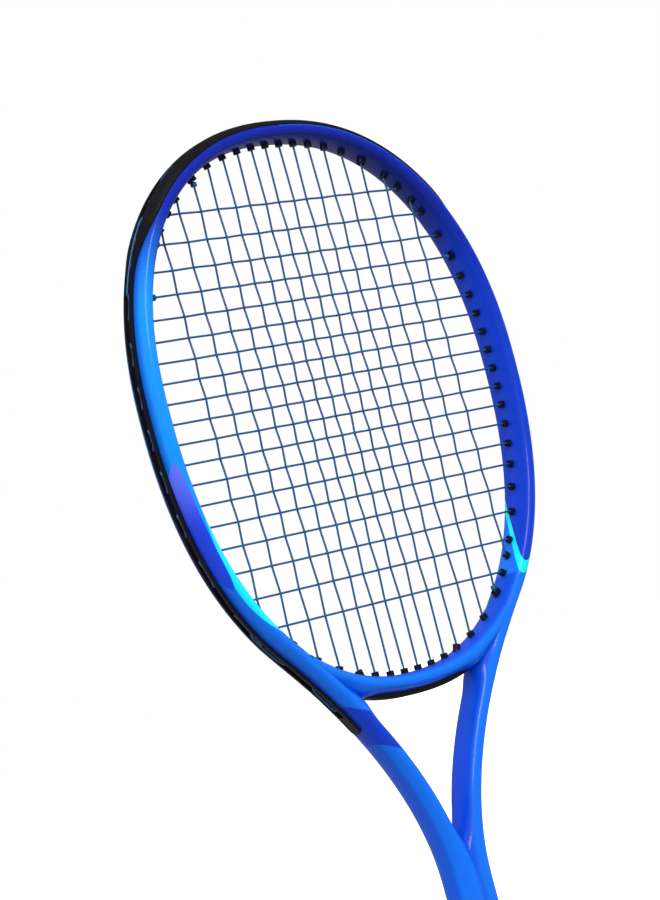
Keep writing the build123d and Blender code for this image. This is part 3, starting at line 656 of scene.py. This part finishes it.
def grip_material():
    """Soft black synthetic leather with rows of fine perforations and a pebbled grain."""
    n = Nodes("grip", Roughness=0.62, Sheen_Weight=0.15, Sheen_Roughness=0.5)
    x, y, z = n.place()
    turn = n.math("DIVIDE", n.math("ARCTAN2", y, x), 2 * math.pi)
    phase = n.math("FRACT", n.math("SUBTRACT", n.math("DIVIDE", z, WRAP_PITCH), turn))
    row = n.math("MULTIPLY", phase, HOLE_ROWS)
    across = n.math("SUBTRACT", n.math("FRACT", row), 0.5)
    stagger = n.math("MULTIPLY", n.math("FLOOR", row), 0.5)
    place = n.math("ADD", n.math("MULTIPLY", turn, HOLES_PER_TURN), stagger)
    along = n.math("SUBTRACT", n.math("FRACT", place), 0.5)
    squares = n.math("ADD", n.math("MULTIPLY", across, across), n.math("MULTIPLY", along, along))
    far = n.math("SQRT", squares)
    middle = n.math("MULTIPLY", n.ramp(phase, 0.16, 0.2), n.ramp(phase, 0.97, 0.93))
    hole = n.math("MULTIPLY", n.ramp(far, 0.2, 0.13), middle)
    colour = n.mix(n.ramp(n.noise(70, 4.0), 0.35, 0.75), (0.018, 0.018, 0.021), (0.035, 0.035, 0.04))
    # the perforations are coloured near-black: painted shade inside the holes
    n.link("Base Color", n.mix(hole, colour, (0.003, 0.003, 0.003)))
    grain = n.math("SUBTRACT", n.math("MULTIPLY", n.noise(1500, 4.0), 0.25), hole)
    n.bump(grain, 0.6, 0.25 * MM)
    return n.material


# --- Put it together ----------------------------------------------------------------------------------------
paint = frame_paint()
hairpin = make_hairpin()
bridge = make_bridge()
for piece in (hairpin, bridge):
    use(piece, paint)
    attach(piece, "root")
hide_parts("frame_tube", "shaft_web")
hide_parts("throat_bridge")

grip = make_grip()
use(grip, grip_material())
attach(grip, "root")
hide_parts("base_grip")

black_nylon = moulded("black_nylon", (0.005, 0.005, 0.009), 0.40)
plain_nodes = {
    "bumper_guard": moulded("bumper_nylon", (0.004, 0.004, 0.009), 0.42),
    "grommet_strip_right": black_nylon,
    "grommet_strip_left": black_nylon,
    "grommet_strip_throat": black_nylon,
    "main_string": string_material(),
    "cross_string": string_material(),
    "tie_off_knots": string_material(),
    "pallet_front": moulded("pallet_foam", (0.10, 0.10, 0.11), 0.8),
    "pallet_back": moulded("pallet_foam_back", (0.10, 0.10, 0.11), 0.8),
    "butt_cap": moulded("butt_cap_plastic", (0.014, 0.014, 0.017), 0.42),
    "butt_badge": moulded("badge_plastic", (0.0, 0.10, 0.60), 0.3, coat=0.6),
    "finishing_tape": moulded("tape_vinyl", (0.02, 0.02, 0.024), 0.3, coat=0.3),
    "grip_collar": moulded("collar_rubber", (0.012, 0.012, 0.014), 0.55),
}
for name, material in plain_nodes.items():
    use(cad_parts[name], material)

# --- Studio -------------------------------------------------------------------------------------------------


FLOOR_HALF_SIZE = 30.0
FLOOR_REFLECTED = (0.22, 0.22, 0.23)  # the floor's tone in the racket's gloss
FLOOR_GLOW = 0.6


def make_floor():
    """A plain pale floor."""
    corners = [(FLOOR_HALF_SIZE * a, FLOOR_HALF_SIZE * b, 0) for a, b in ((-1, -1), (1, -1), (1, 1), (-1, 1))]
    piece = make_object("floor", corners, [(0, 1, 2, 3)])
    n = Nodes("floor", Roughness=0.9)
    n.shader.inputs["Emission Color"].default_value = (1, 1, 1, 1)
    n.place()
    pale = n.mix(n.ramp(n.noise(3, 2.0), 0.3, 0.7), (0.93, 0.93, 0.93), (0.95, 0.95, 0.95))
    seen = n.tree.nodes.new("ShaderNodeLightPath").outputs["Is Camera Ray"]
    n.link("Base Color", n.mix(seen, FLOOR_REFLECTED, pale))
    n.link("Emission Strength", n.math("MULTIPLY", seen, FLOOR_GLOW))
    use(piece, n.material)


def area_light(name, place, target, size, energy, size_y=None, glossy=True):
    """A soft light that faces the target; one that isn't glossy leaves no highlight."""
    data = bpy.data.lights.new(name, "AREA")
    data.shape = "RECTANGLE"
    data.size = size
    data.size_y = size_y or size
    data.energy = energy
    light = bpy.data.objects.new(name, data)
    light.visible_glossy = glossy
    bpy.context.scene.collection.objects.link(light)
    light.location = place
    light.rotation_euler = (Vector(target) - Vector(place)).to_track_quat("-Z", "Y").to_euler()


ROOM_LIGHT = 1.15  # what the racket is lit by
REFLECTED_LIGHT = 0.12  # what its gloss reflects
BACKDROP_LIGHT = 1.0  # what is seen behind it


def make_studio():
    """A white room with three soft lights."""
    world = bpy.context.scene.world or bpy.data.worlds.new("world")
    bpy.context.scene.world = world
    world.use_nodes = True
    tree = world.node_tree
    background = tree.nodes["Background"]
    background.inputs[0].default_value = (1, 1, 1, 1)
    path = tree.nodes.new("ShaderNodeLightPath")
    room = tree.nodes.new("ShaderNodeMapRange")
    room.inputs["To Min"].default_value = ROOM_LIGHT
    room.inputs["To Max"].default_value = REFLECTED_LIGHT
    tree.links.new(path.outputs["Is Glossy Ray"], room.inputs["Value"])
    seen = tree.nodes.new("ShaderNodeMapRange")
    seen.inputs["To Max"].default_value = BACKDROP_LIGHT
    tree.links.new(room.outputs[0], seen.inputs["To Min"])
    tree.links.new(path.outputs["Is Camera Ray"], seen.inputs["Value"])
    tree.links.new(seen.outputs[0], background.inputs[1])
    bpy.context.scene.view_settings.view_transform = "Standard"
    middle = (0, 0, HEAD_MIDDLE)
    area_light("key", (-1.3, -1.6, 2.0), middle, 0.5, 28, 1.6)
    area_light("side", (1.8, -0.9, 1.2), middle, 0.35, 16, 1.8, glossy=False)
    area_light("back", (0.6, 1.8, 1.6), middle, 0.9, 14, glossy=False)


make_floor()
make_studio()
